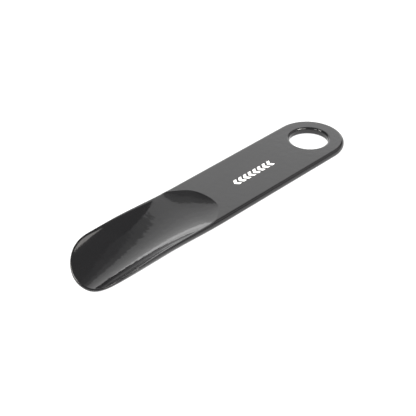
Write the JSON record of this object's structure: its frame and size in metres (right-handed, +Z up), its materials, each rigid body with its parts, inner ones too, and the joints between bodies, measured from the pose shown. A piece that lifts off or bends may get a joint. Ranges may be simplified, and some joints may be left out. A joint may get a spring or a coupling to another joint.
{
  "type": "shoehorn",
  "caption": "One-piece moulded plastic shoehorn: a flat handle with a round hanging hole runs into a scooped blade with a blunt rounded tip.",
  "frame": {"origin": "centre of the bounding box in plan, on the surface that the shoehorn lies on", "axes": "+X from the blade's tip towards the handle's end, +Y across the handle, +Z up from the surface; it lies scoop side up, so the handle slopes down towards its end by 2.45 degrees"},
  "size_m": [0.1892, 0.04, 0.0115],
  "materials": {
    "black_plastic": "glossy injection-moulded black, with faint drag marks",
    "white_ink": "thin satin film of pad-printing ink"
  },
  "bodies": {
    "root": {"shoehorn_moulding": "black_plastic", "printed_mark": "white_ink"}
  },
  "joints": []
}
